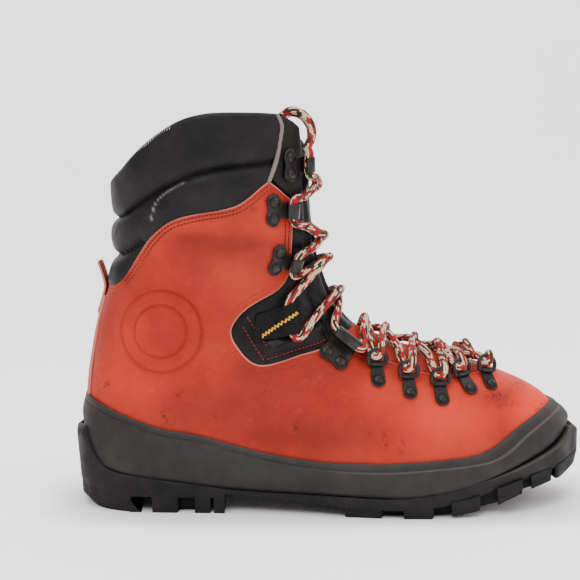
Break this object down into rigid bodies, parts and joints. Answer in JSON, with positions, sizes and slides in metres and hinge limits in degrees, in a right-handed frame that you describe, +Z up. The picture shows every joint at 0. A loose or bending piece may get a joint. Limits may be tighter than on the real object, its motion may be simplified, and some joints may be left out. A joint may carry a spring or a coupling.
{
  "type": "hiking boot",
  "caption": "High leather mountaineering boot with padded collar, lugged rubber sole, hooks and ring eyelets, and a round braided lace.",
  "frame": {"origin": "middle of the boot's footprint, on the floor", "axes": "+X to the toe, +Y to the inner side of the foot, +Z up"},
  "size_m": [0.31, 0.1126, 0.2392],
  "materials": {
    "red_leather": "worn nubuck, matte",
    "black_leather": "smooth padded leather, satin",
    "webbing": "woven nylon",
    "rand_rubber": "moulded, matte, worn lighter at toe and heel",
    "tread_rubber": "moulded, matte",
    "black_metal": "black painted steel, worn",
    "footbed": "felt",
    "lace_cord": "round braid, red, cream and dark olive"
  },
  "bodies": {
    "root": {"backstay": "red_leather", "collar": "black_leather", "d_ring_1_inner": "black_metal", "d_ring_1_outer": "black_metal", "d_ring_2_inner": "black_metal", "d_ring_2_outer": "black_metal", "d_ring_3_inner": "black_metal", "d_ring_3_outer": "black_metal", "d_ring_4_inner": "black_metal", "d_ring_4_outer": "black_metal", "d_ring_5_inner": "black_metal", "d_ring_5_outer": "black_metal", "facing_inner": "black_leather", "facing_outer": "black_leather", "gusset_inner": "black_leather", "gusset_outer": "black_leather", "hook_1_inner": "black_metal", "hook_1_outer": "black_metal", "hook_2_inner": "black_metal", "hook_2_outer": "black_metal", "hook_3_inner": "black_metal", "hook_3_outer": "black_metal", "insole": "footbed", "lace_crossings": "lace_cord", "lace_end_inner": "lace_cord", "lace_end_outer": "lace_cord", "lace_loop_inner": "webbing", "lace_loop_outer": "webbing", "lock_hook_inner": "black_metal", "lock_hook_outer": "black_metal", "midsole": "rand_rubber", "outsole": "tread_rubber", "tongue": "black_leather", "upper": "red_leather"}
  },
  "joints": []
}
